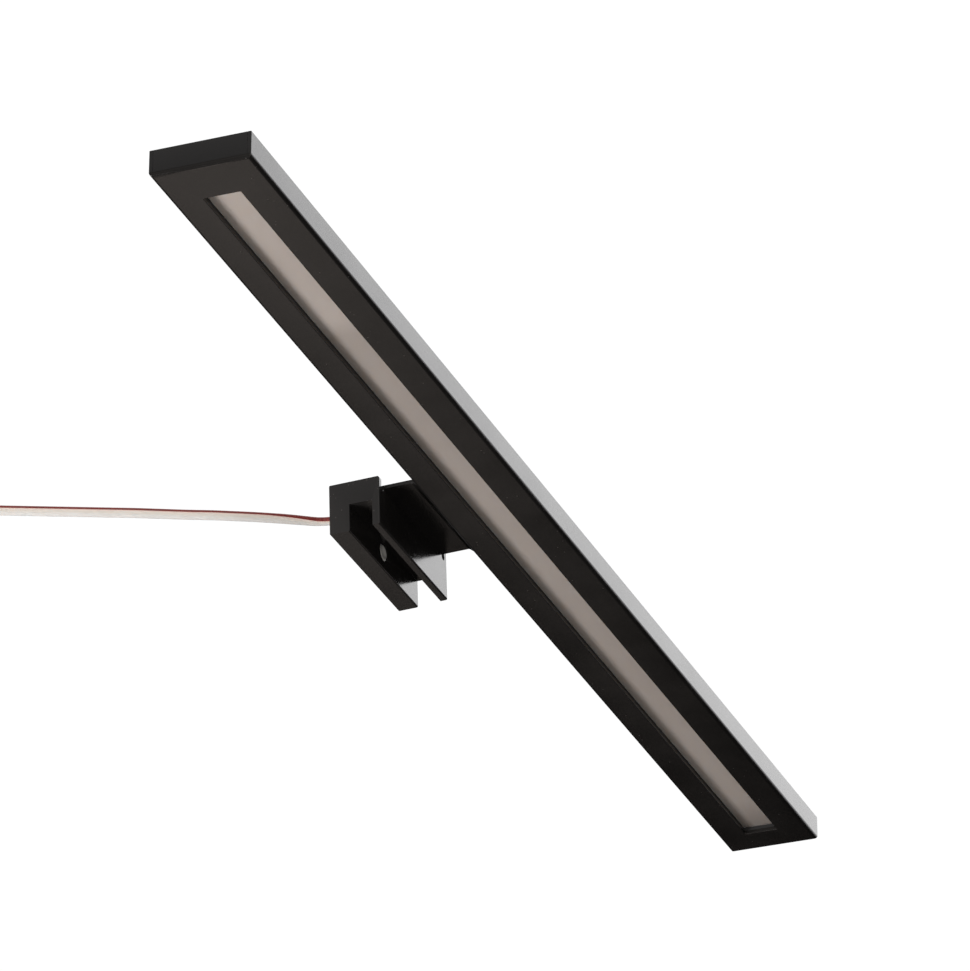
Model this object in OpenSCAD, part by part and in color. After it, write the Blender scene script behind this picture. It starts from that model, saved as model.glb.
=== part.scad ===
// Clip-on picture light: a slim folded-sheet light bar on a cranked arm, held by a clamp that
// hangs over the top edge of a frame, mirror or panel and is pinched tight with one grub screw.
// +X runs along the bar, +Y points to the wall, +Z is up. The origin is the middle of the slot's
// ceiling, which rests on the top edge of the panel.

/* [Light bar] */
// Length of the light bar
bar_l = 450; // [400:1:500]
// Depth of the light bar, room side to wall side
bar_d = 28.5; // [28:0.1:30]
// Height of the light bar
bar_h = 7.7; // [7.6:0.1:8.2]
// Thickness of the folded sheet of the tray and of its cover
sheet_t = 1.1; // [1:0.05:1.2]
// Outside radius of the fold round the bottom of the tray
fold_r = 1.2; // [1.1:0.05:1.5]
// Lean of the bar about its length, its room side down
bar_lean = 1.8; // [0:0.1:3]
// Room side bottom edge of the bar, measured toward the wall from the slot's middle
bar_y = -51.3; // [-54:0.1:-50]
// Height of that edge above the slot's ceiling
bar_z = -8.6; // [-9:0.1:-8.5]

/* [Window] */
// Length of the light window
window_l = 422.5; // [400:0.5:424]
// Width of the light window
window_w = 10.4; // [10:0.1:11]
// Sheet left between the window and the bar's left end
window_left = 15.5; // [14:0.5:16]
// Sheet left between the window and the bar's room side
window_front = 9.5; // [9.3:0.1:9.9]

/* [Lights] */
// Number of light emitting diodes on the board
led_count = 36; // [24:3:36]
// Distance from one diode to the next
led_pitch = 11.6; // [9:0.1:11.6]
// Thickness of the opal diffuser
diffuser_t = 1.4; // [1.2:0.1:1.4]
// Height of the diffuser above the sheet round the window
diffuser_rise = 1.2; // [0.9:0.1:1.2]

/* [Arm] */
// Width of the arm, along the bar
arm_w = 44.3; // [42:0.1:44.5]
// Thickness of the arm's sheet
arm_t = 1.1; // [1:0.05:1.2]
// Height of the arm's underside above the slot's ceiling
arm_z = 4.85; // [4.8:0.05:5.1]
// Radius of the arm's bends at the middle of the sheet
arm_bend_r = 1.7; // [1.2:0.1:2]

/* [Clamp] */
// Length of the clamp, along the bar
clamp_l = 52; // [50:1:60]
// Width of the slot
slot_w = 7; // [6.5:0.1:7.5]
// Depth of the slot, from its ceiling to the ends of the legs
slot_depth = 8; // [8:0.1:9]
// Thickness of the room side leg
front_leg_t = 2.2; // [2.2:0.1:2.5]
// Thickness of the wall side leg
rear_leg_t = 6.2; // [6:0.1:6.4]
// How far the wall side leg reaches below the room side leg
rear_leg_more = 0.5; // [0.1:0.1:0.8]
// Thickness of the block over the slot
block_t = 7.2; // [7.1:0.1:7.6]
// Gap between the arm and each side wall of its pocket
pocket_gap = 1.95; // [0.15:0.05:2]
// Radius of the reliefs in the pocket's bottom corners
relief_r = 1.1; // [0.5:0.1:1.2]
// Radius of the clamp's long outer edges
clamp_edge_r = 0.5; // [0.4:0.1:1.2]
// Radius of the clamp's upright outer edges
clamp_corner_r = 0.4; // [0.3:0.1:1.2]

/* [Grub screw] */
// Radius of the threaded hole in the wall side leg
thread_r = 3; // [3:0.1:3.1]
// Length of the grub screw
screw_l = 5; // [5:1:10]
// Depth of the screw's axis below the slot's ceiling
screw_drop = 3; // [3:0.1:4]

/* [Cord] */
// Width of the flat twin cord
cord_w = 2.9; // [2.8:0.1:3]
// Thickness of the flat twin cord
cord_t = 1.45; // [1.4:0.05:1.5]
// Distance of the cord from the clamp's middle, toward the left end
cord_left = 11.6; // [11:0.1:11.8]
// Radius of the coil at the middle of its turns
coil_r = 17.5; // [16:0.5:18]
// Radius of the bundle of turns
bundle_r = 6.5; // [6:0.1:6.6]

/* [Hidden] */
$fn = 64;
slack = 0.15; // clearance round parts that are let into others
cut = 1; // how far a cutter runs past the face that it opens

// Heights inside the bar, above its bottom face
cover_z = bar_h - sheet_t;
tape_t = 0.2;
board_t = 1;
board_z = cover_z - tape_t - board_t;
led_h = 0.8;

// Places across the bar, from its room side, and along it, from its middle
window_mid_y = window_front + window_w / 2;
window_mid_x = window_left + window_l / 2 - bar_l / 2;
standoff_x = [-214, -75, 75, 214];
standoff_y = [4.6, bar_d - 3.6];
pad_x = [-200, -120, -45, 45, 120, 200];
board_l = 420;
board_w = 10;
diffuser_w = 15;
diffuser_lap = 3;
diffuser_z = sheet_t + diffuser_rise;
pad_w = 2;
gasket_inset = 0.3;

// The arm from its wall end to its room end, as the line of its underside
arm_end = [5, arm_z];
crank_top = [-14.4, arm_z];
crank_foot = on_bar_yz(31.6, bar_h);
flange_end = on_bar_yz(3.5, bar_h);
flange_hole_x = [-17.8, 17.8];
flange_hole_y = [5.4, 24];
cable_hole_y = 23.2;
cable_hole_r = 2.5;

// Clamp faces, as distances toward the wall
front_face = -slot_w / 2 - front_leg_t;
rear_face = slot_w / 2 + rear_leg_t;
pocket_end = 5.1;
clamp_screw_x = [-18, 0, 18];
groove_z = 3;
groove_w = 4;
groove_front = -3.5;
exit_z = 4.05;
sleeve_l = 3.1;

// Screws: shank radius, head radius, head height
m25 = [1.2, 2.2, 1];
m3 = [1.45, 2.75, 1.1];
m3_thread_r = 1.5;
tip_r = 2.75;
tip_t = 0.7;
tip_stem_l = 1.5;
socket_depth = 2.4;
tip_face = slot_w / 2 + 0.05;
screw_start = tip_face + tip_t + 0.05;

// The free cord: from the clamp's sleeve to its coil, and from the coil to the plug
cord_route = [[-11.6, 12.8, 4.05], [-11.7, 15.5, 4.1], [-13, 18.6, 4], [-15.6, 21.5, 3.7],
    [-18.8, 24.5, 3.2], [-22.2, 28, 2.7], [-26, 32.4, 2.2], [-29.5, 37, 1.8], [-33, 42.5, 1.6],
    [-36.5, 49, 1.5], [-40, 55.5, 1.5], [-43.5, 62, 1.5], [-47, 69, 1.5], [-50.5, 76, 1.5],
    [-54, 83, 1.5], [-57.5, 90, 1.5], [-61, 97, 1.5], [-64.5, 104, 1.5], [-68, 111, 1.5]];
tail_route = [[-95, 131, 1.5], [-101, 131, 1.5], [-107, 131, 1.6], [-112, 131, 1.7]];
coil_centre = [-90, 111, 7.2];
tie_w = 6;
tie_t = 0.7;
plug_size = [15, 7, 4];
plug_base = [-112, 131, 0];
contact_pitch = 3;

// Lean of the bar, for points given across and above it
function on_bar_yz(y, z) = [bar_y + y * cos(bar_lean) - z * sin(bar_lean),
    bar_z + y * sin(bar_lean) + z * cos(bar_lean)];

// Left normal of a direction in the plane
function left_of(v) = [-v.y, v.x];
function turned(v, a) = [v.x * cos(a) - v.y * sin(a), v.x * sin(a) + v.y * cos(a)];
function unit(v) = v / norm(v);

// Rounded corner at b on the way from a to c: points of the arc, each with its direction
function corner(a, b, c, r, steps = 6) =
    let (u = unit(b - a), v = unit(c - b), side = sign(cross(u, v)), bend = acos(u * v))
    let (start = b - u * r * tan(bend / 2), centre = start + side * r * left_of(u))
    [for (i = [0:steps]) let (d = turned(u, side * bend * i / steps)) [centre - side * r * left_of(d), d]];

// Middle line of a bent strip through the given points, as [point, direction] pairs
function strip_line(p, r) = let (last = len(p) - 1)
    [[p[0], unit(p[1] - p[0])],
        for (i = [1:last - 1]) each corner(p[i - 1], p[i], p[i + 1], r),
        [p[last], unit(p[last] - p[last - 1])]];

// Outline of a bent strip of thickness t
module strip(p, t, r) {
    line = strip_line(p, r);
    one_side = [for (e = line) e[0] + left_of(e[1]) * t / 2];
    other_side = [for (i = [len(line) - 1:-1:0]) line[i][0] - left_of(line[i][1]) * t / 2];
    polygon(concat(one_side, other_side));
}

// The arm's underside, raised by h: from its wall end, over the crank, to its room end
function up_from(a, b) = -left_of(unit(b - a));
function raised(p, n1, n2, h) = let (m = unit(n1 + n2)) p + m * h / (m * n1);
function arm_line(h) =
    let (slope = up_from(crank_top, crank_foot), flange = up_from(crank_foot, flange_end))
    [arm_end + [0, h], raised(crank_top, [0, 1], slope, h), raised(crank_foot, slope, flange, h),
        flange_end + flange * h];

// Extrudes an outline drawn in the wall-and-up plane along X, centred on X = 0
module along_x(length) rotate([90, 0, 90]) linear_extrude(length, center = true) children();

// Moves children from the bar's own frame: across the bar, along it and above its bottom face
module on_bar() translate([0, bar_y, bar_z]) rotate([bar_lean, 0, 0]) children();

module box(low, high) translate(low) cube(high - low);

module at_each(xs, ys, z) for (x = xs, y = ys) translate([x, y, z]) children();

module ring(h, outer_r, inner_r) difference() {
    cylinder(h = h, r = outer_r);
    translate([0, 0, -cut]) cylinder(h = h + 2 * cut, r = inner_r);
}

// Low-headed screw with a hexagon socket: its head stands on Z = 0, its shank points down
module screw(size, length) difference() {
    union() {
        cylinder(h = size[2], r = size[1]);
        translate([0, 0, -length]) cylinder(h = length + 0.1, r = size[0]);
    }
    translate([0, 0, 0.35]) cylinder(h = size[2], r = size[1] * 0.45, $fn = 6);
}

// Tube swept through the points of a route, with eight sides
module swept_tube(route, r, sides = 8) {
    n = len(route);
    function heading(i) = unit(route[min(i + 1, n - 1)] - route[max(i - 1, 0)]);
    function across(i) = unit(cross(heading(i), [0, 0, 1]));
    points = [for (i = [0:n - 1], k = [0:sides - 1])
        let (a = 360 * (k + 0.5) / sides, up = cross(across(i), heading(i)))
        route[i] + r * (across(i) * cos(a) + up * sin(a))];
    walls = [for (i = [0:n - 2], k = [0:sides - 1])
        let (a = i * sides + k, b = i * sides + (k + 1) % sides)
        [a, b, b + sides, a + sides]];
    ends = [[for (k = [sides - 1:-1:0]) k], [for (k = [0:sides - 1]) (n - 1) * sides + k]];
    polyhedron(points, concat(walls, ends), convexity = 6);
}

// Side view of the tray: a rectangle whose two bottom corners are rounded
module tray_outline(width, height, r) translate([-width / 2, 0]) {
    translate([0, r]) square([width, height - r]);
    translate([r, 0]) square([width - 2 * r, r + 0.1]);
    for (x = [r, width - r]) translate([x, r]) circle(r);
}

// Closed tray with rounded bottom folds on all four sides
module tray_block(length, depth, height, r) intersection() {
    along_x(length) tray_outline(depth, height, r);
    rotate([90, 0, 0]) linear_extrude(depth, center = true) tray_outline(length, height, r);
}

module bar_housing() color("#1c1a19") on_bar() translate([0, bar_d / 2, 0]) difference() {
    tray_block(bar_l, bar_d, bar_h, fold_r);
    translate([0, 0, sheet_t + bar_h / 2])
        cube([bar_l - 2 * sheet_t, bar_d - 2 * sheet_t, bar_h], center = true);
    translate([window_mid_x, window_mid_y - bar_d / 2, 0])
        cube([window_l, window_w, 4 * sheet_t], center = true);
}

module bar_cover() color("#1c1a19") on_bar() difference() {
    inset = sheet_t + slack;
    box([-bar_l / 2 + inset, inset, cover_z], [bar_l / 2 - inset, bar_d - inset, bar_h]);
    at_each(standoff_x, standoff_y, cover_z - cut) cylinder(h = sheet_t + 2 * cut, r = 1.4);
    at_each(flange_hole_x, flange_hole_y, cover_z - cut) cylinder(h = sheet_t + 2 * cut, r = 1.6);
    translate([-cord_left, cable_hole_y, cover_z - cut])
        cylinder(h = sheet_t + 2 * cut, r = cable_hole_r);
}

module cover_standoffs() color("#b9bcc0") on_bar()
    at_each(standoff_x, standoff_y, sheet_t) ring(cover_z - sheet_t, 2, 1.25);

module cover_screws() color("#232122") on_bar()
    at_each(standoff_x, standoff_y, bar_h) screw(m25, 4.5);

module diffuser() color("#968f84") on_bar()
    translate([window_mid_x, window_mid_y, diffuser_z + diffuser_t / 2])
        cube([window_l + 2 * diffuser_lap, diffuser_w, diffuser_t], center = true);

// A gasket round the window under the diffuser, and pads that press on the diffuser from above
module diffuser_pads() color("#2b2b2c") on_bar() {
    low = diffuser_z + diffuser_t;
    for (x = pad_x, side = [-1, 1])
        translate([x, window_mid_y + side * (diffuser_w / 2 - 1.2), (low + cover_z) / 2])
            cube([12, pad_w, cover_z - low], center = true);
    translate([window_mid_x, window_mid_y, sheet_t + diffuser_rise / 2]) difference() {
        cube([window_l + 2 * diffuser_lap, diffuser_w, diffuser_rise], center = true);
        cube([window_l + 2 * gasket_inset, window_w + 2 * gasket_inset, diffuser_rise + cut],
            center = true);
    }
}

module led_board() color("#e8e8e2") on_bar() translate([window_mid_x, window_mid_y, board_z + board_t / 2])
    cube([board_l, board_w, board_t], center = true);

module board_tape() color("#d7c9a4") on_bar() translate([window_mid_x, window_mid_y, cover_z - tape_t / 2])
    cube([board_l, board_w - 1, tape_t], center = true);

module leds() color("#e9d36a") on_bar() for (i = [0:led_count - 1])
    translate([window_mid_x + (i - (led_count - 1) / 2) * led_pitch, window_mid_y, board_z - led_h / 2])
        cube([3.5, 2.8, led_h], center = true);

module resistors() color("#1e1f22") on_bar() for (i = [0:3:led_count - 3])
    translate([window_mid_x + (i + 0.5 - (led_count - 1) / 2) * led_pitch, window_mid_y, board_z - 0.28])
        cube([3.2, 1.6, 0.56], center = true);

module solder_joints() color("#c9ccd1") on_bar()
    for (side = [-1, 1]) translate([-cord_left + side * 0.75, cable_hole_y - 4.9, board_z - 0.9])
        cylinder(h = 0.9, r = 0.7);

module cover_grommet() color("#161616") on_bar() translate([-cord_left, cable_hole_y, cover_z - 0.5]) {
    ring(0.5, 3, 1.75);
    translate([0, 0, 0.5]) ring(sheet_t + arm_t, cable_hole_r - 0.05, 1.75);
}

module arm() color("#191817") difference() {
    along_x(arm_w) strip(arm_line(arm_t / 2), arm_t, arm_bend_r);
    on_bar() at_each(flange_hole_x, flange_hole_y, bar_h - cut) cylinder(h = arm_t + 2 * cut, r = 1.6);
    on_bar() translate([-cord_left, cable_hole_y, bar_h - cut])
        cylinder(h = arm_t + 2 * cut, r = cable_hole_r);
    at_each(clamp_screw_x, [0], arm_z - cut) cylinder(h = arm_t + 2 * cut, r = 1.6);
    box([-cord_left - groove_w / 2, -3.2, arm_z - cut],
        [-cord_left + groove_w / 2, 1.3, arm_z + arm_t + cut]);
}

module arm_screws() color("#232122") on_bar()
    at_each(flange_hole_x, flange_hole_y, bar_h + arm_t) screw(m3, 4);

module arm_nuts() color("#b9bcc0") on_bar()
    at_each(flange_hole_x, flange_hole_y, cover_z - 1.9) ring(1.9, 2.5, m3_thread_r);

// The lead from the board, up through the cover, along the arm and down into the clamp's groove
module arm_lead() color("#e6e2da") translate([-cord_left, 0, 0]) {
    lie = arm_t + cord_t / 2 + 0.12;
    over = arm_line(lie);
    up_z = board_z - 0.15 - cord_t / 2;
    points = [on_bar_yz(cable_hole_y - 4.1, up_z), on_bar_yz(cable_hole_y, up_z),
        on_bar_yz(cable_hole_y, bar_h + lie), over[2], over[1], [-1, arm_z + lie],
        [-1, exit_z], [rear_face + sleeve_l, exit_z]];
    along_x(cord_w) strip(points, cord_t, 1.3);
}

// Clip that bridges the lead, standing on Z = 0
module clip() difference() {
    box([-3.2, -1.5, 0], [3.2, 1.5, 2.4]);
    box([-cord_w / 2 - 0.1, -1.5 - cut, -cut], [cord_w / 2 + 0.1, 1.5 + cut, cord_t + 0.25]);
}

module lead_clips() color("#141414") {
    translate([-cord_left, -9, arm_z + arm_t]) clip();
    on_bar() translate([-cord_left, 27.5, bar_h + arm_t]) clip();
}

module rounded(size, r) {
    translate([r, 0]) square([size.x - 2 * r, size.y]);
    translate([0, r]) square([size.x, size.y - 2 * r]);
    for (x = [r, size.x - r], y = [r, size.y - r]) translate([x, y]) circle(r);
}

// Side view of the clamp: a thick block with a thin room side leg and a thick wall side leg
module clamp_outline() difference() {
    translate([front_face, -slot_depth])
        rounded([rear_face - front_face, block_t + slot_depth], clamp_edge_r);
    translate([-slot_w / 2, -slot_depth - cut]) square([slot_w, slot_depth + cut]);
}

// The wall side leg, which is a little longer
module rear_leg_outline() translate([slot_w / 2, -slot_depth - rear_leg_more])
    rounded([rear_leg_t, block_t + slot_depth + rear_leg_more], clamp_edge_r);

module clamp_body() color("#1d1c1b") difference() {
    intersection() {
        along_x(clamp_l) {
            clamp_outline();
            rear_leg_outline();
        }
        translate([-clamp_l / 2, front_face, -slot_depth - cut])
            linear_extrude(block_t + slot_depth + 2 * cut)
                rounded([clamp_l, rear_face - front_face], clamp_corner_r);
    }
    pocket_x = arm_w / 2 + pocket_gap;
    box([-pocket_x, front_face - cut, arm_z], [pocket_x, pocket_end, block_t + cut]);
    for (side = [-1, 1])
        translate([side * (pocket_x - relief_r * 0.8), pocket_end, arm_z - 0.1]) rotate([90, 0, 0])
            cylinder(h = pocket_end - front_face + cut, r = relief_r);
    box([-cord_left - groove_w / 2, groove_front, groove_z],
        [-cord_left + groove_w / 2, rear_face + cut, block_t + cut]);
    at_each(clamp_screw_x, [0], 1.4) cylinder(h = arm_z, r = m3_thread_r);
    translate([0, rear_face + cut, -screw_drop]) rotate([90, 0, 0])
        cylinder(h = rear_leg_t + 2 * cut, r = thread_r);
}

module clamp_screws() color("#232122") at_each(clamp_screw_x, [0], arm_z + arm_t) screw(m3, 4.4);

// Grub screw: a hexagon socket at its wall end and a bore for the tip's stem at its room end
module set_screw() color("#8d9095") translate([0, screw_start, -screw_drop]) rotate([-90, 0, 0])
    difference() {
        cylinder(h = screw_l, r = thread_r - 0.06);
        translate([0, 0, screw_l - socket_depth]) cylinder(h = socket_depth + cut, r = 1.73, $fn = 6);
        translate([0, 0, -cut]) cylinder(h = tip_stem_l + 0.15 + cut, r = 1.05);
    }

// Swivel button that the screw pushes against the panel
module screw_tip() color("#c3c6ca") translate([0, tip_face, -screw_drop]) rotate([-90, 0, 0]) {
    cylinder(h = tip_t, r = tip_r);
    cylinder(h = tip_t + tip_stem_l, r = 1);
}

module cord_grommet() color("#141414") difference() {
    union() {
        box([-cord_left - groove_w / 2 + 0.05, 6.2, groove_z],
            [-cord_left + groove_w / 2 - 0.05, rear_face, block_t]);
        translate([-cord_left, rear_face, exit_z]) rotate([-90, 0, 0])
            cylinder(h = sleeve_l, r1 = 2.7, r2 = 2.2);
    }
    translate([-cord_left, rear_face, exit_z]) cube([cord_w + 0.1, 20, cord_t + 0.1], center = true);
}

module cord() color("#d9d2c8") {
    swept_tube(cord_route, cord_w / 2);
    swept_tube(tail_route, cord_w / 2);
}

module cord_coil() color("#d9d2c8") translate(coil_centre)
    rotate_extrude() translate([coil_r, 0]) circle(bundle_r);

module coil_tie() color("#151515") translate(coil_centre - [tie_w / 2, coil_r, 0]) rotate([0, 90, 0])
    ring(tie_w, bundle_r + tie_t, bundle_r);

// Two-way plug with an open mouth at its far end, which holds the contacts
module plug() color("#f1efe9") translate(plug_base) difference() {
    box([-plug_size.x, -plug_size.y / 2, 0], [0, plug_size.y / 2, plug_size.z]);
    for (side = [-1, 1]) translate([-plug_size.x - cut, side * contact_pitch / 2 - 1, plug_size.z / 2 - 1])
        cube([8 + cut, 2, 2]);
}

module plug_contacts() color("#c9a84e") translate(plug_base)
    for (side = [-1, 1])
        translate([-plug_size.x + 4.5, side * contact_pitch / 2, plug_size.z / 2])
            cube([7, 1, 1], center = true);

bar_housing();
bar_cover();
cover_standoffs();
cover_screws();
diffuser();
diffuser_pads();
led_board();
board_tape();
leds();
resistors();
solder_joints();
cover_grommet();
arm();
arm_screws();
arm_nuts();
arm_lead();
lead_clips();
clamp_body();
clamp_screws();
set_screw();
screw_tip();
cord_grommet();
cord();
cord_coil();
coil_tie();
plug();
plug_contacts();
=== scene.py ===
"""Clip-on picture light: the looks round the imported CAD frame.
The scene is in metres, with +X along the bar, +Y to the wall and +Z up. The object's own named sizes are in
millimetres."""

import math

import bmesh
import bpy
from mathutils import Matrix, Vector


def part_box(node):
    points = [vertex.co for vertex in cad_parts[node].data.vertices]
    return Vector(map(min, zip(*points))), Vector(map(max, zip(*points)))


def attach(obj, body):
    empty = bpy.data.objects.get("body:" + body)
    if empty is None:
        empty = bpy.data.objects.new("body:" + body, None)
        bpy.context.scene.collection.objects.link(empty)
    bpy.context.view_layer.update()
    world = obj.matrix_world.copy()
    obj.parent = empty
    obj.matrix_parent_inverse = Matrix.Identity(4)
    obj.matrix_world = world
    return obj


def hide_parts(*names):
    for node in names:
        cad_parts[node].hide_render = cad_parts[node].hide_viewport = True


MM = 0.001

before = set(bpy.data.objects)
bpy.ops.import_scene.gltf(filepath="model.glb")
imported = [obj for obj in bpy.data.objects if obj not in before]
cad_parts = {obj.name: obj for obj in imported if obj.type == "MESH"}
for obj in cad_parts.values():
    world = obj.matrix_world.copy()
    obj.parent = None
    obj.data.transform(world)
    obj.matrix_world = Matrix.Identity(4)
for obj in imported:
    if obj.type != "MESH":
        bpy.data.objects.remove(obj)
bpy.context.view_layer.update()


# ---------------------------------------------------------------- small helpers

def mm(*values):
    """A point given in millimetres, in metres."""
    return Vector(values) * MM


def smooth(t):
    """0 to 1 with level ends."""
    t = min(max(t, 0.0), 1.0)
    return t * t * (3 - 2 * t)


def new_piece(name, bm, material, body="lamp", replaces=(), slot=None):
    """Makes an object of a bmesh, gives it its material and body, and hides the CAD nodes it stands for."""
    mesh = bpy.data.meshes.new(name)
    bm.to_mesh(mesh)
    bm.free()
    mesh.polygons.foreach_set("use_smooth", [True] * len(mesh.polygons))
    piece = bpy.data.objects.new(name, mesh)
    bpy.context.scene.collection.objects.link(piece)
    mesh.materials.append(material)
    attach(piece, body)
    if replaces:
        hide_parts(*replaces)
    return piece


# ---------------------------------------------------------------- camera

CAMERA_AT = Vector((-1.50594, -0.59023, -0.85070))
CAMERA_AIM = Vector((0.825513, 0.308189, 0.472808))
CAMERA_UP = Vector((-0.431810, -0.194535, 0.880736))
LENS = 236.5
SENSOR = 36
NEAREST = 0.05
FARTHEST = 60


def make_camera():
    data = bpy.data.cameras.new("camera")
    data.lens = LENS
    data.sensor_width = SENSOR
    data.clip_start, data.clip_end = NEAREST, FARTHEST
    camera = bpy.data.objects.new("camera", data)
    bpy.context.scene.collection.objects.link(camera)
    back = -CAMERA_AIM.normalized()
    right = CAMERA_UP.cross(back).normalized()
    turn = Matrix((right, back.cross(right), back)).transposed().to_4x4()
    camera.matrix_world = Matrix.Translation(CAMERA_AT) @ turn
    bpy.context.scene.camera = camera


make_camera()


# ---------------------------------------------------------------- material nodes

# Places of a colour mix's factor, its two colours and its result among its sockets
MIX_FACTOR, MIX_A, MIX_B, MIX_RESULT = 0, 6, 7, 2


class Shader:
    """A material's node tree, with short calls for the nodes that the finishes use."""

    def __init__(self, name):
        self.material = bpy.data.materials.new(name)
        self.material.use_nodes = True
        self.tree = self.material.node_tree
        self.bsdf = self.tree.nodes["Principled BSDF"]
        self.place = self.tree.nodes.new("ShaderNodeTexCoord").outputs["Object"]

    def node(self, kind, **settings):
        made = self.tree.nodes.new(kind)
        for key, value in settings.items():
            setattr(made, key, value)
        return made

    def link(self, source, target):
        self.tree.links.new(source, target)

    def set(self, **values):
        """Constants on the shader's own sockets; underscores stand for spaces."""
        for key, value in values.items():
            self.bsdf.inputs[key.replace("_", " ")].default_value = value

    def stretched(self, scale):
        """The object coordinates, scaled by three factors."""
        mapping = self.node("ShaderNodeMapping")
        mapping.inputs["Scale"].default_value = scale
        self.link(self.place, mapping.inputs["Vector"])
        return mapping.outputs["Vector"]

    def noise(self, scale, detail=3.0, rough=0.55, vector=None):
        made = self.node("ShaderNodeTexNoise")
        made.inputs["Scale"].default_value = scale
        made.inputs["Detail"].default_value = detail
        made.inputs["Roughness"].default_value = rough
        self.link(vector or self.place, made.inputs["Vector"])
        return made.outputs["Fac"]

    def cells(self, scale, feature="F1", randomness=1.0):
        made = self.node("ShaderNodeTexVoronoi", feature=feature)
        made.inputs["Scale"].default_value = scale
        made.inputs["Randomness"].default_value = randomness
        self.link(self.place, made.inputs["Vector"])
        return made

    def ramp(self, source, stops):
        """Colours or greys at positions along 0 to 1."""
        made = self.node("ShaderNodeValToRGB")
        elements = made.color_ramp.elements
        while len(elements) < len(stops):
            elements.new(0.5)
        for element, (position, colour) in zip(elements, stops):
            element.position = position
            grey = isinstance(colour, (int, float))
            element.color = (colour, colour, colour, 1) if grey else (*colour, 1)
        self.link(source, made.inputs["Fac"])
        return made.outputs["Color"]

    def span(self, source, low, high, to_low, to_high):
        made = self.node("ShaderNodeMapRange")
        for key, value in (("From Min", low), ("From Max", high), ("To Min", to_low), ("To Max", to_high)):
            made.inputs[key].default_value = value
        self.link(source, made.inputs["Value"])
        return made.outputs["Result"]

    def spread(self, source, to_low, to_high):
        """A noise's usual range, 0.3 to 0.7, laid between two values."""
        return self.span(source, 0.3, 0.7, to_low, to_high)

    def math(self, operation, a, b=0.0):
        made = self.node("ShaderNodeMath", operation=operation)
        for socket, value in zip(made.inputs, (a, b)):
            if isinstance(value, (int, float)):
                socket.default_value = value
            else:
                self.link(value, socket)
        return made.outputs["Value"]

    def mix(self, factor, a, b, blend="MIX"):
        made = self.node("ShaderNodeMix", data_type="RGBA", blend_type=blend)
        for place, value in ((MIX_FACTOR, factor), (MIX_A, a), (MIX_B, b)):
            socket = made.inputs[place]
            if isinstance(value, (int, float)):
                socket.default_value = value
            elif isinstance(value, tuple):
                socket.default_value = (*value, 1)
            else:
                self.link(value, socket)
        return made.outputs[MIX_RESULT]

    def bump(self, height, distance):
        made = self.node("ShaderNodeBump")
        made.inputs["Distance"].default_value = distance
        made.inputs["Strength"].default_value = 1.0
        self.link(height, made.inputs["Height"])
        self.link(made.outputs["Normal"], self.bsdf.inputs["Normal"])

    def colour(self, source):
        self.link(source, self.bsdf.inputs["Base Color"])

    def roughness(self, source):
        self.link(source, self.bsdf.inputs["Roughness"])


def black_coat(name, tone=0.014, rough=0.17, grain=5200.0, dust=0.35, ior=1.5):
    """Satin black stove enamel: fine orange peel, faint clouds, paler edges that are partly worn paint and
    partly a painted highlight, and some dust.
    """
    s = Shader(name)
    cloud = s.noise(45.0, 4.0)
    base = s.mix(cloud, (tone * 0.86, tone * 0.8, tone * 0.78), (tone * 1.16, tone * 1.1, tone * 1.06))
    # Paler edges: partly worn paint, partly a painted highlight where the edges catch the light
    edge = s.ramp(s.node("ShaderNodeNewGeometry").outputs["Pointiness"], [(0.505, 0.0), (0.62, 1.0)])
    base = s.mix(s.math("MULTIPLY", edge, 0.5), base, (tone * 3.2, tone * 3.0, tone * 2.9))
    speck = s.cells(620.0)
    near = s.ramp(speck.outputs["Distance"], [(0.07, 1.0), (0.13, 0.0)])
    picked = s.node("ShaderNodeSeparateColor")
    s.link(speck.outputs["Color"], picked.inputs["Color"])
    chosen = s.ramp(picked.outputs["Red"], [(0.80, 0.0), (0.86, 1.0)])
    dusty = s.math("MULTIPLY", s.math("MULTIPLY", near, chosen), dust)
    s.colour(s.mix(dusty, base, (0.16, 0.15, 0.14)))
    peel = s.noise(grain, 2.0, 0.5)
    s.roughness(s.math("ADD", s.spread(cloud, rough - 0.03, rough + 0.03), s.math("MULTIPLY", dusty, 0.4)))
    s.bump(s.math("ADD", peel, s.math("MULTIPLY", dusty, 2.0)), 0.000012)
    s.set(IOR=ior)
    return s.material


def steel(name, colour, rough=0.24, turned=True, metallic=1.0):
    """Plated or bare steel with fine turning marks and a slight stain."""
    s = Shader(name)
    stain = s.noise(900.0, 4.0)
    pale = tuple(c * 1.08 for c in colour)
    dark = tuple(c * 0.8 for c in colour)
    s.colour(s.mix(stain, dark, pale))
    marks = s.noise(9000.0, 2.0, 0.5, s.stretched((1.0, 0.15, 1.0) if turned else (1.0, 1.0, 1.0)))
    s.roughness(s.spread(marks, rough - 0.06, rough + 0.08))
    s.bump(marks, 0.000006)
    s.set(Metallic=metallic)
    return s.material


def moulded(name, colour, rough=0.5, grain=2600.0, depth=0.00001, scatter=0.0):
    """Moulded plastic or rubber: uneven tone and a fine spark-eroded grain."""
    s = Shader(name)
    cloud = s.noise(160.0, 4.0)
    s.colour(s.mix(cloud, tuple(c * 0.86 for c in colour), tuple(min(1, c * 1.1) for c in colour)))
    pits = s.noise(grain, 3.0, 0.6)
    s.roughness(s.spread(pits, rough - 0.07, rough + 0.07))
    s.bump(pits, depth)
    if scatter:
        s.set(Subsurface_Weight=scatter, Subsurface_Radius=(0.9, 0.7, 0.5), Subsurface_Scale=0.0006)
    return s.material


# Half the length, in metres, over which the painted shade on the opal changes along the bar
OPAL_REACH = 0.22


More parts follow.
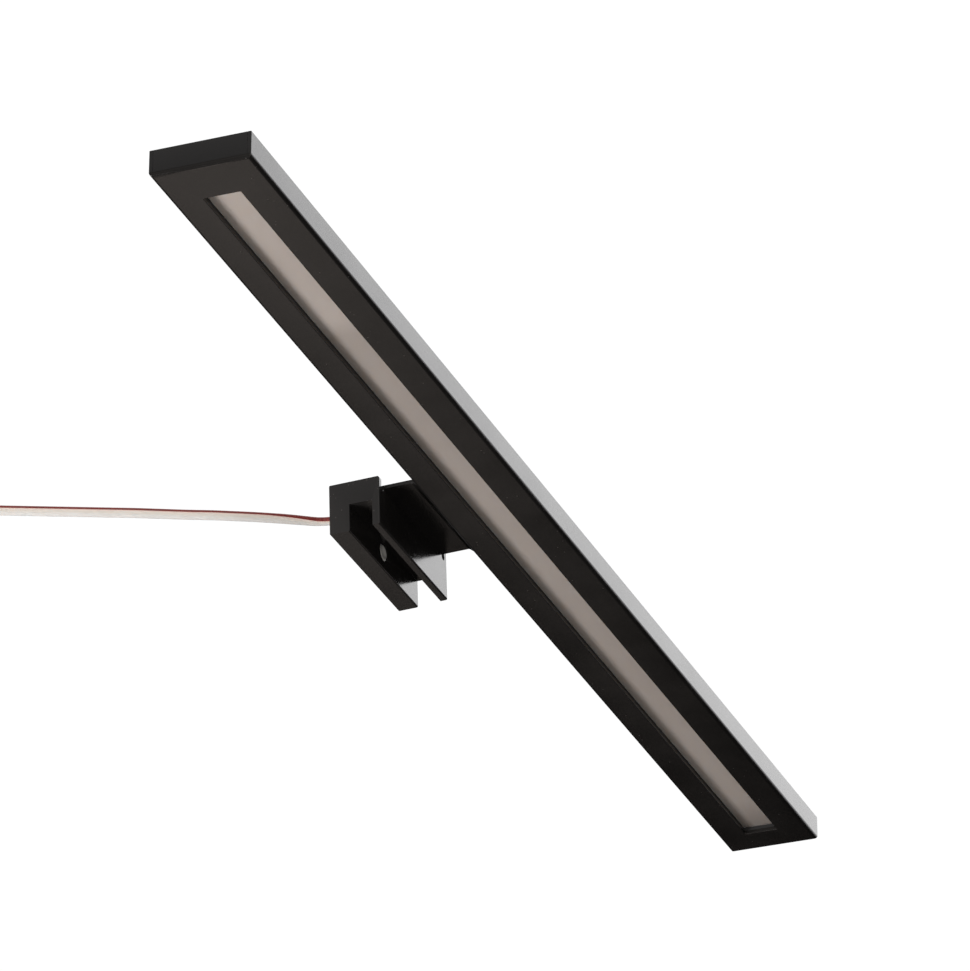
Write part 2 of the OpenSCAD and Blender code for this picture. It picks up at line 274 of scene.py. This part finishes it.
def opal(name):
    """Sanded opal acrylic: warm grey, faintly mottled, with fine dust, painted shade along it and a painted
    dark far end."""
    s = Shader(name)
    along = s.noise(9.0, 2.0, 0.5)
    fine = s.noise(1500.0, 3.0)
    tone = s.mix(along, (0.49, 0.435, 0.40), (0.60, 0.54, 0.50))
    tone = s.mix(s.math("MULTIPLY", fine, 0.16), tone, (0.76, 0.70, 0.65))
    split = s.node("ShaderNodeSeparateXYZ")
    s.link(s.place, split.inputs["Vector"])
    length_wise = s.span(split.outputs["X"], -OPAL_REACH, OPAL_REACH, 0.0, 1.0)
    # Painted shade along the bar: a darker stretch after the first fifth and a dark far end
    painted_shade = s.ramp(length_wise, [(0.02, 0.97), (0.12, 0.93), (0.195, 0.98), (0.215, 0.78), (0.32, 0.80),
                                 (0.70, 0.90), (0.94, 0.98), (0.984, 0.6)])
    tone = s.mix(1.0, tone, painted_shade, "MULTIPLY")
    speck = s.cells(700.0)
    near = s.ramp(speck.outputs["Distance"], [(0.05, 1.0), (0.12, 0.0)])
    s.colour(s.mix(s.math("MULTIPLY", near, 0.2), tone, (0.3, 0.27, 0.25)))
    s.roughness(s.spread(fine, 0.5, 0.62))
    s.bump(fine, 0.00001)
    s.set(Subsurface_Weight=0.8, Subsurface_Radius=(1.0, 0.85, 0.7), Subsurface_Scale=0.003, IOR=1.49)
    return s.material


RED_EDGE = "red_edge"


def twin_wire(name):
    """Soft milky vinyl over two wires, with a dark red stripe along one edge, painted shade in the groove
    between the wires and painted highlights along them.
    The attribute red_edge runs across the cord from 0 at its white edge to 1 at its red one."""
    s = Shader(name)
    across = s.node("ShaderNodeAttribute", attribute_name=RED_EDGE).outputs["Fac"]
    streak = s.noise(500.0, 3.0, 0.5)
    # Painted shade darkens the groove between the wires, at 0.5; the paler stops either side of it are
    # painted highlights
    milky_with_painted_shade = s.ramp(across, [(0.0, (0.99, 0.86, 0.82)), (0.22, (0.97, 0.83, 0.78)),
                            (0.36, (0.99, 0.85, 0.80)), (0.50, (0.93, 0.76, 0.67)),
                            (0.60, (0.99, 0.76, 0.69)), (0.74, (0.99, 0.64, 0.57))])
    milky_with_painted_shade = s.mix(s.math("MULTIPLY", streak, 0.25), milky_with_painted_shade, (0.99, 0.88, 0.83))
    stripe = s.ramp(across, [(0.735, 0.0), (0.785, 1.0)])
    crimson = s.mix(streak, (0.17, 0.024, 0.020), (0.25, 0.042, 0.036))
    s.colour(s.mix(stripe, milky_with_painted_shade, crimson))
    s.roughness(s.spread(streak, 0.32, 0.44))
    s.bump(streak, 0.00002)
    s.set(Subsurface_Weight=1.0, Subsurface_Radius=(1.0, 0.9, 0.85), Subsurface_Scale=0.004)
    return s.material


def printed(name, base, line):
    """Circuit board: solder mask with buried tracks showing faintly."""
    s = Shader(name)
    cell = s.cells(140.0, "DISTANCE_TO_EDGE", 0.15)
    track = s.ramp(cell.outputs["Distance"], [(0.06, 1.0), (0.09, 0.0)])
    cloud = s.noise(300.0)
    s.colour(s.mix(s.math("MULTIPLY", track, 0.5), s.mix(cloud, base, tuple(c * 0.93 for c in base)), line))
    s.roughness(s.spread(cloud, 0.4, 0.5))
    s.bump(track, 0.00002)
    return s.material


def led_package(name):
    """Yellow phosphor gel, uneven in tone."""
    s = Shader(name)
    cloud = s.noise(2600.0)
    s.colour(s.mix(cloud, (0.72, 0.55, 0.09), (0.85, 0.68, 0.16)))
    s.roughness(s.spread(cloud, 0.25, 0.4))
    s.bump(cloud, 0.00002)
    return s.material


MATERIALS = {
    "satin_black_sheet": black_coat("satin_black_sheet"),
    "satin_black_clamp": black_coat("satin_black_clamp", tone=0.019, rough=0.16, grain=6500.0, dust=0.3,
                                    ior=1.52),
    "black_screw": black_coat("black_screw", tone=0.02, rough=0.33, grain=9000.0, dust=0.1),
    "zinc_steel": steel("zinc_steel", (0.62, 0.63, 0.66), 0.3),
    "opal_diffuser": opal("opal_diffuser"),
    "black_foam": moulded("black_foam", (0.03, 0.03, 0.031), 0.85, 1500.0, 0.00006),
    "white_board": printed("white_board", (0.8, 0.8, 0.77), (0.66, 0.67, 0.62)),
    "board_tape": moulded("board_tape", (0.62, 0.52, 0.33), 0.55, 1200.0, 0.00002),
    "led_package": led_package("led_package"),
    "resistor": moulded("resistor", (0.02, 0.02, 0.024), 0.35, 3000.0),
    "solder": steel("solder", (0.6, 0.61, 0.63), 0.2, False),
    "black_rubber": moulded("black_rubber", (0.014, 0.014, 0.014), 0.6, 2200.0, 0.00002),
    "black_nylon": moulded("black_nylon", (0.018, 0.018, 0.019), 0.42, 2600.0, 0.00002),
    "twin_cord": twin_wire("twin_cord"),
    "screw_steel": steel("screw_steel", (0.46, 0.46, 0.47), 0.34),
    "tip_steel": steel("tip_steel", (0.88, 0.87, 0.84), 0.36, metallic=0.25),
    "white_nylon": moulded("white_nylon", (0.78, 0.75, 0.69), 0.38, 2400.0, 0.00001, 0.3),
    "contact_brass": steel("contact_brass", (0.72, 0.52, 0.2), 0.25, False),
}


# ---------------------------------------------------------------- the bar's own leaning frame

BAR_LEAN = math.radians(1.8)
BAR_D = 28.5
BAR_H = 7.7
SHEET = 1.1


def bar_point(x, y, z):
    """A point in metres, from millimetres along the bar, in from its room side and up from its bottom."""
    low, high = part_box("bar_housing")
    foot_y = low.y / MM + BAR_H * math.sin(BAR_LEAN)
    return mm(x, foot_y + y * math.cos(BAR_LEAN) - z * math.sin(BAR_LEAN),
              low.z / MM + y * math.sin(BAR_LEAN) + z * math.cos(BAR_LEAN))


# ---------------------------------------------------------------- the cord

CORD_W = 2.9
CORD_T = 1.45
EXIT = (-11.6, 12.8, 4.05)
ROUTE = [EXIT, (-11.7, 15.5, 4.1), (-13, 18.6, 4), (-15.6, 21.5, 3.7), (-18.8, 24.5, 3.2),
         (-22.2, 28, 2.7), (-26, 32.4, 2.2), (-29.5, 37, 1.8), (-33, 42.5, 1.6), (-36.5, 49, 1.5),
         (-40, 55.5, 1.5), (-43.5, 62, 1.5), (-47, 69, 1.5), (-50.5, 76, 1.5), (-54, 83, 1.5),
         (-57.5, 90, 1.5), (-61, 97, 1.5), (-64.5, 104, 1.5), (-68, 111, 1.5)]
TAIL = [(-95, 131, 1.5), (-101, 131, 1.5), (-107, 131, 1.6), (-112, 131, 1.7)]
CORD_STEP = 1.6
SECTION_POINTS = 20
WIRE_ARC = 236

COIL_AT = (-90, 111, 7.2)
COIL_R = 17.5
STEPS_A_TURN = 32
# Where the turns lie in the bundle's section: columns outward, each with its rows upward
FIRST_COLUMN = -3
LAST_COLUMN = 2
FIRST_ROWS = [-0.5, 0.5]
OTHER_ROWS = [-1.1, -0.1, 0.9]
COLUMN_GAP = 1.6
ROW_GAP = 3.0
# Places in the section, outward and up, where the cord comes in and goes out
ENTRY = (4.5, -5.7)
LEAVE = (3.1, -5.7)
# Parts of a turn: the way in, its move inward and its move up, each turn's change over, and the way out
ENTRY_TURNS = 0.5
ENTRY_INWARD = 0.34
ENTRY_RISE_AT = 0.2
CHANGE_OVER = 0.3
LEAVE_TURN = 104 / 360
LEAVE_EARLY = 0.05
LEAVE_SLACK = 0.02


def coil_slots():
    """Where each turn lies in the bundle, outward and up from the middle of the coil's section.
    The turns fill columns from the innermost out, up one column and down the next."""
    slots = []
    for column in range(FIRST_COLUMN, LAST_COLUMN + 1):
        rows = FIRST_ROWS if column == FIRST_COLUMN else OTHER_ROWS
        rows = rows if column % 2 else rows[::-1]
        slots += [(column * COLUMN_GAP, row * ROW_GAP) for row in rows]
    return slots


def between(a, b, out_share, up_share):
    """A place in the section between two others, with its own share outward and upward."""
    return a[0] + (b[0] - a[0]) * out_share, a[1] + (b[1] - a[1]) * up_share


def section_place(turn, slots):
    """Where the cord lies in the bundle's section after a number of turns."""
    if turn < ENTRY_TURNS:
        rise = smooth((turn - ENTRY_RISE_AT) / (ENTRY_TURNS - ENTRY_RISE_AT))
        return between(ENTRY, slots[0], smooth(turn / ENTRY_INWARD), rise)
    if turn > len(slots) - LEAVE_EARLY:
        t = smooth((turn - len(slots) + LEAVE_EARLY) / (LEAVE_TURN + LEAVE_SLACK))
        return between(slots[-1], LEAVE, t, t)
    k = int(turn)
    t = smooth((turn - k - (1 - CHANGE_OVER)) / CHANGE_OVER)
    return between(slots[k], slots[min(k + 1, len(slots) - 1)], t, t)


def coil_points():
    """The coil's turns. The cord comes in underneath, and each turn ends by changing to its next place."""
    slots = coil_slots()
    points = []
    for i in range(1, round((len(slots) + LEAVE_TURN) * STEPS_A_TURN)):
        turn = i / STEPS_A_TURN
        out, up = section_place(turn, slots)
        angle = 2 * math.pi * turn
        radius = COIL_R + out
        points.append((COIL_AT[0] + radius * math.cos(angle), COIL_AT[1] + radius * math.sin(angle),
                       COIL_AT[2] + up))
    return points


def curve_through(points, spacing):
    """A smooth line through the points, with a point about every spacing."""
    line = []
    last = len(points) - 1
    for i in range(last):
        p0, p1 = points[max(i - 1, 0)], points[i]
        p2, p3 = points[i + 1], points[min(i + 2, last)]
        count = max(1, round((p2 - p1).length / spacing))
        for k in range(count):
            t = k / count
            line.append(0.5 * (2 * p1 + (p2 - p0) * t + (2 * p0 - 5 * p1 + 4 * p2 - p3) * t * t
                               + (3 * p1 - p0 - 3 * p2 + p3) * t ** 3))
    return line + [points[last]]


def twin_section():
    """Outline of two round wires side by side, as (across, through, how red), the red one first."""
    half = CORD_T / 2
    offset = (CORD_W - CORD_T) / 2
    outline = []
    for side in (1, -1):
        for k in range(SECTION_POINTS // 2):
            angle = math.radians(WIRE_ARC * (k / (SECTION_POINTS // 2 - 1) - 0.5))
            across = side * (offset + half * math.cos(angle))
            through = side * half * math.sin(angle)
            outline.append((across, through, 0.5 + 0.5 * across / (CORD_W / 2)))
    return outline


def ribbon(name, line, edges, **facts):
    """Twin cord along a line in metres. edges gives the direction of its red edge at each point."""
    bm = bmesh.new()
    red = bm.verts.layers.float.new(RED_EDGE)
    section = twin_section()
    rings = []
    for i, point in enumerate(line):
        ahead = (line[min(i + 1, len(line) - 1)] - line[max(i - 1, 0)]).normalized()
        edge = (edges[i] - ahead * edges[i].dot(ahead)).normalized()
        face = ahead.cross(edge)
        ring = []
        for across, through, redness in section:
            vert = bm.verts.new(point + (edge * across + face * through) * MM)
            vert[red] = redness
            ring.append(vert)
        rings.append(ring)
    count = len(section)
    for low, high in zip(rings, rings[1:]):
        for k in range(count):
            bm.faces.new((low[k], low[(k + 1) % count], high[(k + 1) % count], high[k]))
    bm.faces.new(rings[0][::-1])
    bm.faces.new(rings[-1])
    bmesh.ops.recalc_face_normals(bm, faces=bm.faces)
    return new_piece(name, bm, MATERIALS["twin_cord"], slot="twin_cord", **facts)


def edge_along(line, at_first, later, start, end):
    """The red edge's direction along a line, which turns from one to the other between two distances."""
    edges, gone = [], 0.0
    for i, point in enumerate(line):
        gone += (point - line[i - 1]).length if i else 0.0
        t = smooth((gone - start) / (end - start))
        edges.append(at_first.lerp(later, t))
    return edges


# Where the red edge points: out of the sleeve, on the laid stretch, in the coil and on the plug
EDGE_AT_EXIT = Vector((-0.93, -0.1, 0.28))
EDGE_LAID = Vector((-0.36, -0.16, 0.9))
EDGE_IN_COIL = Vector((0, 0, 1))
EDGE_AT_PLUG = Vector((0, 1, 0.02))
TWIST_FROM = 4
TWIST_TO = 26
POINTS_BEFORE_COIL = 8
POINTS_TO_STAND_UP = 24


def make_cord():
    """The whole cord: the laid stretch, the coil and the tail that ends in the plug."""
    free = curve_through([mm(*p) for p in ROUTE], CORD_STEP * MM)
    turns = [mm(*p) for p in coil_points()]
    tail = curve_through([mm(*p) for p in TAIL], CORD_STEP * MM)
    line = free + turns + tail
    edges = edge_along(line, EDGE_AT_EXIT, EDGE_LAID, TWIST_FROM * MM, TWIST_TO * MM)
    standing_up = len(free) - POINTS_BEFORE_COIL
    for i in range(standing_up, len(line)):
        edges[i] = edges[i].lerp(EDGE_IN_COIL, smooth((i - standing_up) / POINTS_TO_STAND_UP))
    tail_start = len(line) - len(tail)
    for i in range(tail_start, len(line)):
        edges[i] = EDGE_IN_COIL.lerp(EDGE_AT_PLUG, smooth((i - tail_start) / (len(tail) - 1)))
    return ribbon("cord_twin", line, edges, replaces=("cord", "cord_coil")), line


cord, cord_line = make_cord()


def rounded_path(corners, radius, steps=8):
    """A line through corner points, with each corner turned into an arc of that radius."""
    line = [corners[0]]
    for a, b, c in zip(corners, corners[1:], corners[2:]):
        into, out = (b - a).normalized(), (c - b).normalized()
        bend = into.angle(out)
        back = radius * math.tan(bend / 2)
        middle = b + (out - into).normalized() * radius / math.cos(bend / 2)
        spin = into.cross(out).normalized()
        start = b - into * back - middle
        for k in range(steps + 1):
            line.append(middle + Matrix.Rotation(bend * k / steps, 3, spin) @ start)
    return line + [corners[-1]]


ARM_T = 1.1
ARM_Z = 4.85
CRANK_TOP = (-14.4, ARM_Z)
CRANK_FOOT_Y = 31.6
ARM_END_Y = 5
FLANGE_END_Y = 3.5
CABLE_HOLE_Y = 23.2
LEAD_START_Y = 19.1
LEAD_UNDER_BOARD = 4.525
LEAD_GAP = 0.12
LEAD_LIFT = ARM_T + CORD_T / 2 + LEAD_GAP
LEAD_DROP_Y = -1
LEAD_BEND_R = 1.3
LEAD_EDGE = Vector((-1, 0, 0))


def above_bend(before, bend, after, height):
    """The point at a height over a bend of the arm's underside, square to the strip on both sides of it."""
    normals = []
    for a, b in ((before, bend), (bend, after)):
        along = (b - a).normalized()
        normals.append(Vector((0, along.z, -along.y)))
    middle = (normals[0] + normals[1]).normalized()
    return bend + middle * height / middle.dot(normals[0])


def lead_corners():
    """Corners of the lead's middle line: board, hole in the cover, flange, crank, arm, clamp and sleeve."""
    x = EXIT[0]
    crank_top = mm(x, *CRANK_TOP)
    crank_foot = bar_point(x, CRANK_FOOT_Y, BAR_H)
    arm_end = mm(x, ARM_END_Y, ARM_Z)
    flange_end = bar_point(x, FLANGE_END_Y, BAR_H)
    lift = LEAD_LIFT * MM
    exit_z = EXIT[2]
    return [bar_point(x, LEAD_START_Y, LEAD_UNDER_BOARD), bar_point(x, CABLE_HOLE_Y, LEAD_UNDER_BOARD),
            bar_point(x, CABLE_HOLE_Y, BAR_H + LEAD_LIFT),
            above_bend(crank_top, crank_foot, flange_end, lift),
            above_bend(arm_end, crank_top, crank_foot, lift),
            mm(x, LEAD_DROP_Y, ARM_Z + LEAD_LIFT), mm(x, LEAD_DROP_Y, exit_z), mm(x, EXIT[1], exit_z)]


def make_lead():
    """The stretch of cord from the board, up through the cover, along the arm and through the clamp."""
    line = rounded_path(lead_corners(), LEAD_BEND_R * MM)
    ribbon("board_lead", line, [LEAD_EDGE] * len(line), replaces=("arm_lead",))


make_lead()


# ---------------------------------------------------------------- softened copies of the CAD nodes

WELD_WITHIN = 2e-6
FLAT_WITHIN = math.radians(1.0)
BEVEL_OVER = math.radians(28)
SHARP_OVER = math.radians(32)


def softened(node, name, width, slot):
    """A copy of a CAD node, its flat faces whole again and its sharp edges rounded by width millimetres."""
    bm = bmesh.new()
    bm.from_mesh(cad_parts[node].data)
    bmesh.ops.remove_doubles(bm, verts=bm.verts, dist=WELD_WITHIN)
    bmesh.ops.dissolve_limit(bm, angle_limit=FLAT_WITHIN, verts=bm.verts, edges=bm.edges)
    piece = new_piece(name, bm, MATERIALS[slot], "lamp", (node,), slot)
    bevel = piece.modifiers.new("edges", "BEVEL")
    bevel.width = width * MM
    bevel.segments = 2
    bevel.limit_method = "ANGLE"
    bevel.angle_limit = BEVEL_OVER
    bevel.miter_outer = "MITER_ARC"
    bevel.use_clamp_overlap = True
    flat = piece.modifiers.new("flat_faces", "WEIGHTED_NORMAL")
    flat.mode = "FACE_AREA"
    flat.weight = 100


def lathe(rings, points=48):
    """A closed form round the Y axis. A ring is a Y and a radius, which may be a function of the angle."""
    bm = bmesh.new()
    rows = []
    for y, radius in rings:
        row = []
        for k in range(points):
            a = 2 * math.pi * k / points
            r = radius(a) if callable(radius) else radius
            row.append(bm.verts.new(mm(r * math.sin(a), y, r * math.cos(a))))
        rows.append(row)
    for low, high in zip(rows, rows[1:]):
        for k in range(points):
            bm.faces.new((low[k], low[(k + 1) % points], high[(k + 1) % points], high[k]))
    for row, step in ((rows[0], -1), (rows[-1], 1)):
        bm.faces.new(row[::step])
    bmesh.ops.recalc_face_normals(bm, faces=bm.faces)
    return bm


def hexagon(across_flats):
    """Radius of a hexagon at an angle."""
    return lambda a: across_flats / 2 / math.cos((a + math.pi / 6) % (math.pi / 3) - math.pi / 6)


def placed(bm, node):
    """Moves a lathe form to a CAD node's axis, which runs along Y through the middle of its box."""
    low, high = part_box(node)
    middle = (low + high) / 2
    bmesh.ops.translate(bm, verts=bm.verts, vec=(middle.x, 0, middle.z))
    return bm


def turned_piece(name, bm, body, node, slot):
    """A piece made of a lathe form, smooth except at its sharp edges."""
    piece = new_piece(name, placed(bm, node), MATERIALS[slot], body, (node,), slot)
    piece.data.set_sharp_from_angle(angle=SHARP_OVER)


THREAD_R = 2.94
THREAD_DEPTH = 0.5
THREAD_PITCH = 1.0
THREAD_CREST = 0.12
THREAD_FLANK = 0.72
THREAD_ROW = 0.125
SCREW_LEAD_IN = 0.7
SCREW_END_R = 2.0
SOCKET_END_R = 2.05
BORE_R = 1.05
BORE_DEPTH = 1.6
BORE_EDGE = 0.08
SOCKET_AF = 3.0
SOCKET_DEPTH = 2.3
SOCKET_EDGE = 0.1
DRILL_R = 1.2
DRILL_PAST_SOCKET = 0.2
POINT_PAST_SOCKET = 0.35
CENTRE_R = 0.2
# How far the floor of a bore or hollow falls toward its middle
DISH = 0.02


def make_set_screw():
    """M6 grub screw: a right-hand thread, chamfered ends, a hexagon socket and a bore for the button."""
    low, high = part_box("set_screw")
    start, end = low.y / MM, high.y / MM

    def thread_at(y):
        room = min(y - start, end - y)

        def radius(a):
            turn = (a / (2 * math.pi) - y / THREAD_PITCH) % 1.0
            flank = min(max((abs(turn - 0.5) * 2 - THREAD_CREST) / THREAD_FLANK, 0.0), 1.0)
            return min(THREAD_R - THREAD_DEPTH * flank, THREAD_R - SCREW_LEAD_IN + room)
        return radius

    rings = [(start + BORE_DEPTH + DISH, CENTRE_R), (start + BORE_DEPTH, BORE_R),
             (start + BORE_EDGE, BORE_R), (start, BORE_R + BORE_EDGE), (start, SCREW_END_R)]
    count = round((end - start) / THREAD_ROW)
    for i in range(count + 1):
        y = start + (end - start) * i / count
        rings.append((y, thread_at(y)))
    wrench = hexagon(SOCKET_AF)
    rings += [(end, SOCKET_END_R), (end, lambda a: wrench(a) + SOCKET_EDGE),
              (end - SOCKET_EDGE, wrench), (end - SOCKET_DEPTH, wrench),
              (end - SOCKET_DEPTH - DRILL_PAST_SOCKET, DRILL_R),
              (end - SOCKET_DEPTH - POINT_PAST_SOCKET, CENTRE_R)]
    turned_piece("grub_screw_m6", lathe(rings), "grub_screw", "set_screw", "screw_steel")


BUTTON_T = 0.7
BUTTON_CHAMFER = 0.55
BUTTON_EDGE = 0.07
FACE_EDGE_H = 0.03
RIM_EDGE_W = 0.05
BACK_EDGE_W = 0.08
HOLLOW_R = 1.72
HOLLOW_LIP_W = 0.1
HOLLOW_LIP_H = 0.05
HOLLOW_FOOT_R = 0.5
HOLLOW_MIDDLE_R = 0.15
HOLLOW_DEPTH = 0.54
STEM_R = 1.0
STEM_EDGE = 0.12
STEM_ROOT_W = 0.06
STEM_ROOT_H = 0.08


def make_screw_tip():
    """The swivel button: a hollow inside a flat ring, a wide chamfer, and the stem that sits in the screw."""
    low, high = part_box("screw_tip")
    face, end, r = low.y / MM, high.y / MM, (high.x - low.x) / 2 / MM
    back = face + BUTTON_T
    rim = back - BUTTON_EDGE * 2
    rings = [(face + HOLLOW_DEPTH + DISH, HOLLOW_MIDDLE_R), (face + HOLLOW_DEPTH, HOLLOW_FOOT_R),
             (face + HOLLOW_LIP_H, HOLLOW_R - HOLLOW_LIP_W), (face, HOLLOW_R),
             (face, r - BUTTON_CHAMFER - BUTTON_EDGE), (face + FACE_EDGE_H, r - BUTTON_CHAMFER),
             (rim - BUTTON_EDGE, r - RIM_EDGE_W), (rim, r), (rim + BUTTON_EDGE, r),
             (back, r - BACK_EDGE_W), (back, STEM_R + STEM_ROOT_W), (back + STEM_ROOT_H, STEM_R),
             (end - STEM_EDGE, STEM_R), (end, STEM_R - STEM_EDGE)]
    turned_piece("swivel_button", lathe(rings, 64), "pressure_tip", "screw_tip", "tip_steel")


SEAM_W = 0.14
SEAM_DEPTH = 0.3
SEAM_FROM = 1.2
SEAM_PAST = 1
AFTER_BEVEL = 1


def cut_seams(piece):
    """Cuts the four corner seams where the end flaps meet the long sides."""
    low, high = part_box("bar_housing")
    length = (high.x - low.x) / MM
    tall = BAR_H - SEAM_FROM + SEAM_PAST
    bm = bmesh.new()
    for end in (-1, 1):
        for y in (SHEET, BAR_D - SHEET):
            made = bmesh.ops.create_cube(bm, size=1.0)["verts"]
            bmesh.ops.scale(bm, verts=made, vec=mm(SEAM_DEPTH * 2, SEAM_W, tall))
            bmesh.ops.rotate(bm, verts=made, cent=(0, 0, 0), matrix=Matrix.Rotation(BAR_LEAN, 3, "X"))
            bmesh.ops.translate(bm, verts=made, vec=bar_point(end * length / 2, y, SEAM_FROM + tall / 2))
    mesh = bpy.data.meshes.new("seam_cutter")
    bm.to_mesh(mesh)
    bm.free()
    cutter = bpy.data.objects.new("seam_cutter", mesh)
    bpy.context.scene.collection.objects.link(cutter)
    cut = piece.modifiers.new("seams", "BOOLEAN")
    cut.operation, cut.solver, cut.object = "DIFFERENCE", "EXACT", cutter
    piece.modifiers.move(len(piece.modifiers) - 1, AFTER_BEVEL)
    bpy.context.view_layer.update()
    graph = bpy.context.evaluated_depsgraph_get()
    whole = bpy.data.meshes.new_from_object(piece.evaluated_get(graph), preserve_all_data_layers=True,
                                            depsgraph=graph)
    piece.modifiers.clear()
    piece.data = whole
    bpy.data.objects.remove(cutter)


SOFTENED = [
    # CAD node, piece's name, edge rounding in millimetres, material slot
    ("bar_housing", "bar_tray", 0.2, "satin_black_sheet"),
    ("bar_cover", "bar_lid", 0.14, "satin_black_sheet"),
    ("arm", "cranked_arm", 0.16, "satin_black_sheet"),
    ("clamp_body", "hook_clamp", 0.18, "satin_black_clamp"),
    ("diffuser", "opal_strip", 0.12, "opal_diffuser"),
    ("cover_screws", "lid_screws", 0.12, "black_screw"),
    ("arm_screws", "arm_bolts", 0.14, "black_screw"),
    ("clamp_screws", "clamp_bolts", 0.14, "black_screw"),
    ("lead_clips", "lead_saddles", 0.15, "black_nylon"),
    ("cord_grommet", "cord_sleeve", 0.15, "black_rubber"),
    ("cover_grommet", "lid_grommet", 0.12, "black_rubber"),
    ("plug", "two_way_plug", 0.3, "white_nylon"),
    ("plug_contacts", "plug_blades", 0.08, "contact_brass"),
    ("coil_tie", "coil_band", 0.15, "black_nylon"),
]
for node_name, piece_name, rounding, slot_name in SOFTENED:
    softened(node_name, piece_name, rounding, slot_name)
cut_seams(bpy.data.objects["bar_tray"])
make_set_screw()
make_screw_tip()

# CAD nodes that are shown as they are, each with its finish
CARRIED = {
    "cover_standoffs": "zinc_steel", "diffuser_pads": "black_foam", "led_board": "white_board",
    "board_tape": "board_tape", "leds": "led_package", "resistors": "resistor", "solder_joints": "solder",
    "arm_nuts": "zinc_steel",
}
for node_name, slot_name in CARRIED.items():
    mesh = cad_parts[node_name].data
    mesh.materials.clear()
    mesh.materials.append(MATERIALS[slot_name])


# ---------------------------------------------------------------- room and light

FLOOR_AT = -3.6
FLOOR_SIZE = 60.0


def make_floor():
    """A plain pale floor, far below and kept out of the light's own reflections."""
    bm = bmesh.new()
    bmesh.ops.create_grid(bm, x_segments=8, y_segments=8, size=FLOOR_SIZE / 2)
    mesh = bpy.data.meshes.new("floor")
    bm.to_mesh(mesh)
    bm.free()
    floor = bpy.data.objects.new("floor", mesh)
    floor.location.z = FLOOR_AT
    bpy.context.scene.collection.objects.link(floor)
    s = Shader("pale_floor")
    grey = s.noise(0.4, 3.0)
    s.colour(s.mix(grey, (0.80, 0.80, 0.79), (0.84, 0.84, 0.83)))
    s.set(Roughness=0.8)
    mesh.materials.append(s.material)
    floor.visible_glossy = False
    floor.visible_diffuse = False


LOBES = [
    # direction, degrees to its edge, degrees to its full strength, colour
    ((0.0, 0.0, 1.0), 78, 25, (0.75, 0.75, 0.76)),
    ((0.95, -0.16, 0.30), 34, 8, (2.36, 2.35, 2.36)),
    ((-0.90, -0.34, -0.16), 50, 12, (0.80, 0.76, 0.72)),
    ((-0.35, -0.45, -0.82), 55, 15, (0.22, 0.21, 0.20)),
    ((0.64, 0.43, -0.68), 17.5, 3, (1.08, 0.95, 0.86)),
]
SOFTBOXES = [
    # name, place, what it points at, size across, watts, colour
    ("low_softbox", (-0.52, -0.32, -0.62), (-0.1, 0.0, 0.0), 0.45, 0.8, (1.0, 0.97, 0.94)),
    ("wall_side_softbox", (-0.36, 0.43, -0.42), (-0.1, 0.0, 0.0), 0.34, 3.8, (1.0, 0.97, 0.95)),
]
# What the camera sees behind everything
BACKDROP = 1.03


def make_world():
    """A white studio: soft light from above, a bright screen beyond the right end, a fill from the left,
    a weak one from below, and a small warm screen low down beyond, which the underside mirrors."""
    world = bpy.data.worlds.new("studio")
    bpy.context.scene.world = world
    world.use_nodes = True
    tree = world.node_tree
    background = tree.nodes["Background"]
    place = tree.nodes.new("ShaderNodeTexCoord").outputs["Generated"]

    def joined(operation, a, b):
        made = tree.nodes.new("ShaderNodeVectorMath")
        made.operation = operation
        tree.links.new(a, made.inputs[0])
        if isinstance(b, tuple):
            made.inputs[1].default_value = b
        else:
            tree.links.new(b, made.inputs[1])
        return made.outputs["Value" if operation == "DOT_PRODUCT" else "Vector"]

    def lobe(direction, edge, full, colour):
        span = tree.nodes.new("ShaderNodeMapRange")
        span.interpolation_type = "SMOOTHSTEP"
        span.inputs["From Min"].default_value = math.cos(math.radians(edge))
        span.inputs["From Max"].default_value = math.cos(math.radians(full))
        tree.links.new(joined("DOT_PRODUCT", place, tuple(Vector(direction).normalized())),
                       span.inputs["Value"])
        return joined("MULTIPLY", span.outputs["Result"], colour)

    total = lobe(*LOBES[0])
    for one in LOBES[1:]:
        total = joined("ADD", total, lobe(*one))
    choose = tree.nodes.new("ShaderNodeMix")
    choose.data_type = "RGBA"
    seen = tree.nodes.new("ShaderNodeLightPath").outputs["Is Camera Ray"]
    tree.links.new(seen, choose.inputs[MIX_FACTOR])
    tree.links.new(total, choose.inputs[MIX_A])
    choose.inputs[MIX_B].default_value = (BACKDROP, BACKDROP, BACKDROP, 1)
    tree.links.new(choose.outputs[MIX_RESULT], background.inputs["Color"])


def make_softbox(name, place, aim, size, watts, colour):
    """A round area light at a place, pointed at another."""
    data = bpy.data.lights.new(name, "AREA")
    data.shape = "DISK"
    data.size = size
    data.energy = watts
    data.color = colour
    light = bpy.data.objects.new(name, data)
    bpy.context.scene.collection.objects.link(light)
    light.location = place
    light.rotation_euler = (Vector(aim) - Vector(place)).to_track_quat("-Z", "Y").to_euler()


make_floor()
make_world()
for softbox in SOFTBOXES:
    make_softbox(*softbox)
bpy.context.scene.view_settings.view_transform = "Standard"
